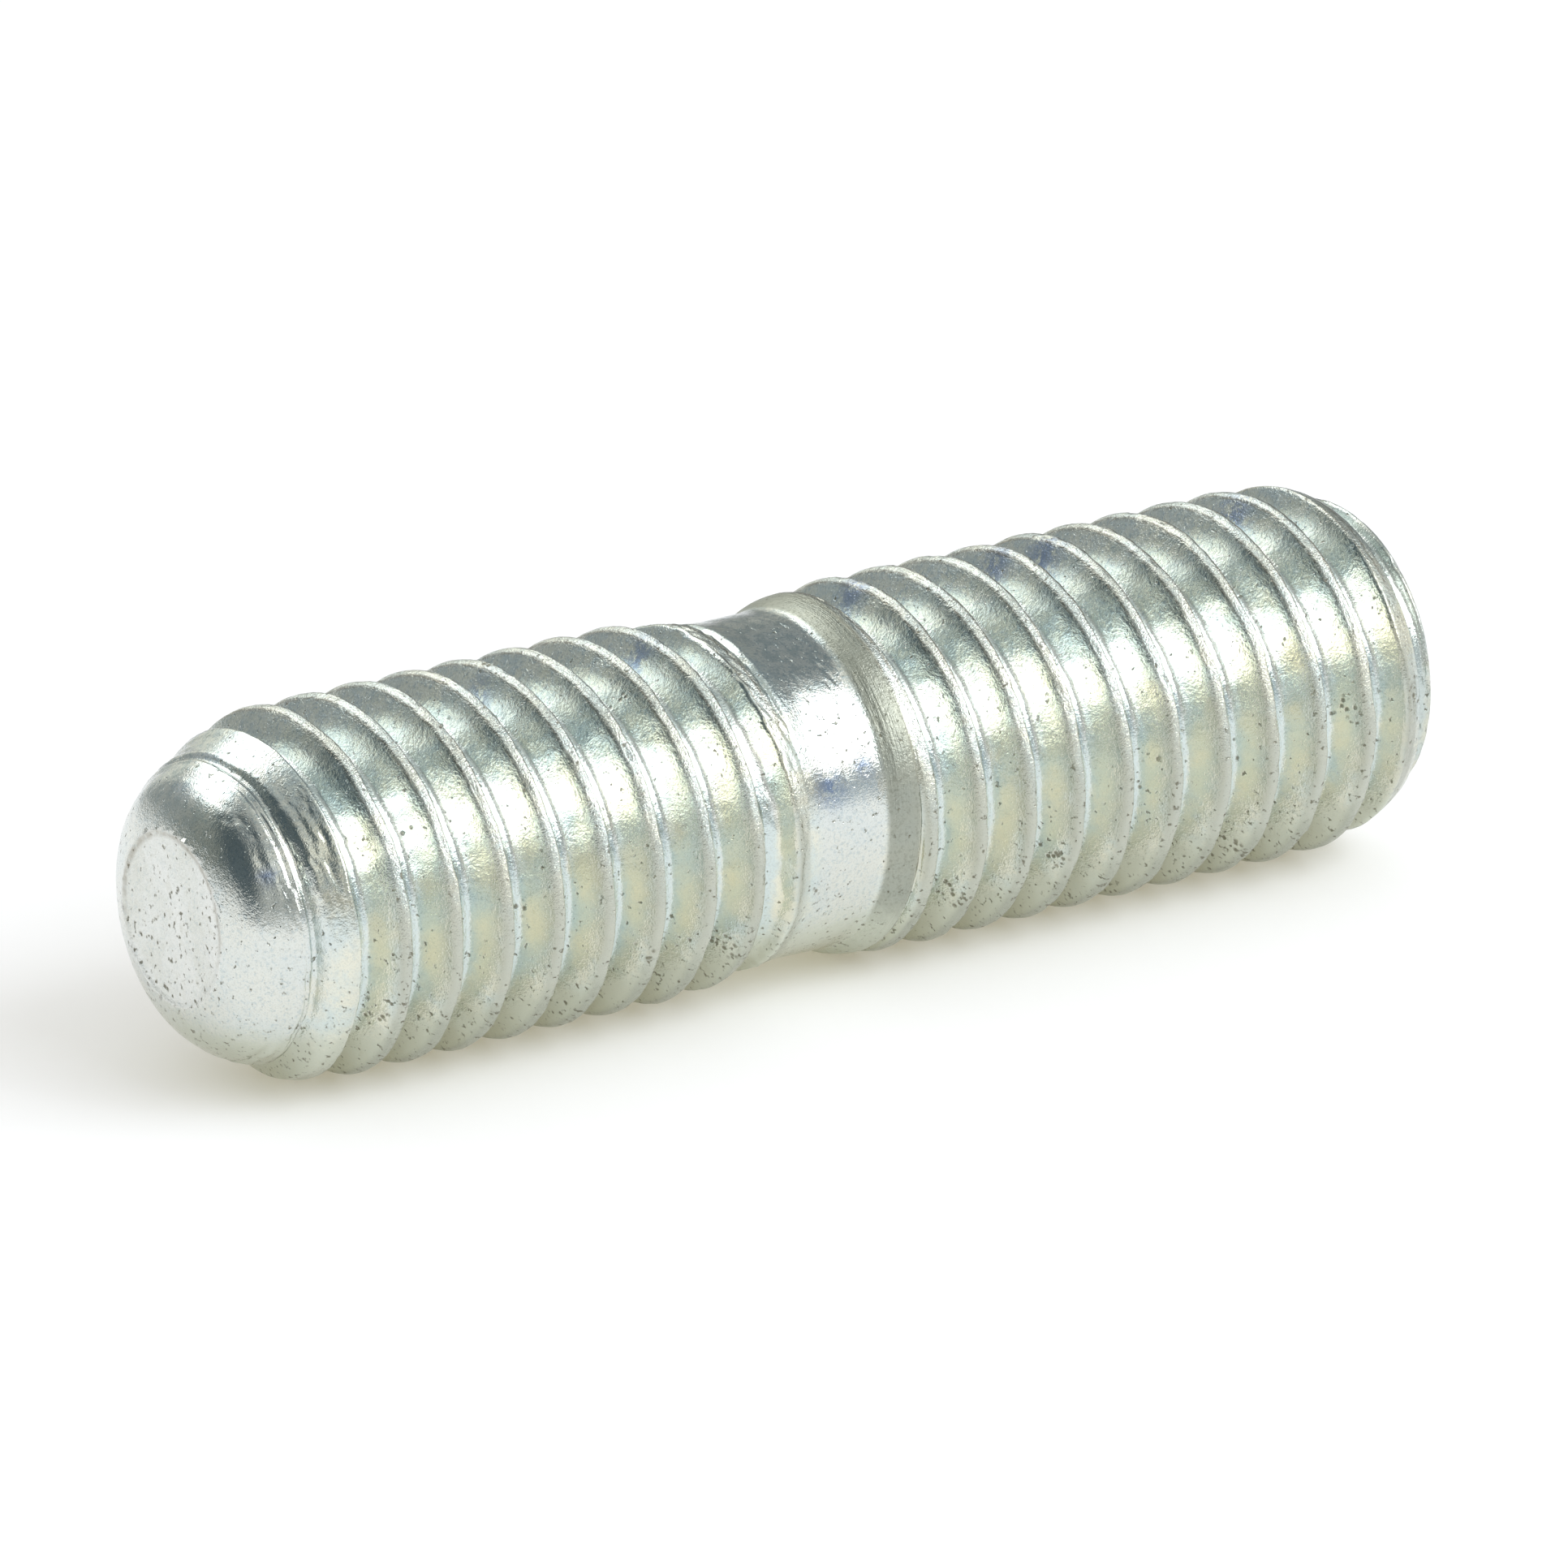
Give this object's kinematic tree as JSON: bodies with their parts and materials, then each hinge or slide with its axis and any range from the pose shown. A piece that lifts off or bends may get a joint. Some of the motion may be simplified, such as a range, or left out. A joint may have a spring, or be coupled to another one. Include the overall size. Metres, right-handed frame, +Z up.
{
  "type": "wheel stud",
  "caption": "Double-ended metric wheel stud: domed nut end, short bare neck, conical shoulder and chamfered hub end, with rolled threads.",
  "frame": {"origin": "centre of the flat end face at the hub end, which the stud stands on", "axes": "+Z up the axis from the hub end to the domed nut end"},
  "size_m": [0.008, 0.008, 0.0298],
  "materials": {
    "zinc_plated_steel": "bright zinc plating on rolled steel, with fine grain and dark specks"
  },
  "bodies": {
    "root": {"stud": "zinc_plated_steel"}
  },
  "joints": []
}
